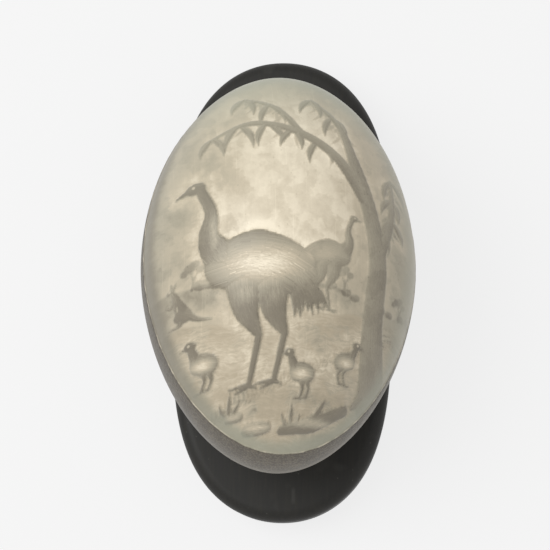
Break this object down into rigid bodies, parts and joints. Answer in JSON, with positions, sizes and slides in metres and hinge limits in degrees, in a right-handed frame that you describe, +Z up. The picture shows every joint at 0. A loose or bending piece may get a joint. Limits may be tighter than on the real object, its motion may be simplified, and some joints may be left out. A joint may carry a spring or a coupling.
{
  "type": "carved emu egg on a stand",
  "caption": "Emu egg lying on its side in a dished oval base, its upper face carved in low relief with emus, chicks and a kangaroo under a gum tree.",
  "frame": {"origin": "middle of the base's underside", "axes": "+Z up out of the base, +Y along the egg's long axis towards its fuller end, +X across the egg"},
  "size_m": [0.0907, 0.1616, 0.1015],
  "materials": {
    "shell": "carved matt eggshell, cream ground and grey-green figures, dark pebbled shell left below the carving",
    "ebonised_wood": "satin black"
  },
  "bodies": {
    "root": {"egg": "shell", "stand": "ebonised_wood"}
  },
  "joints": []
}
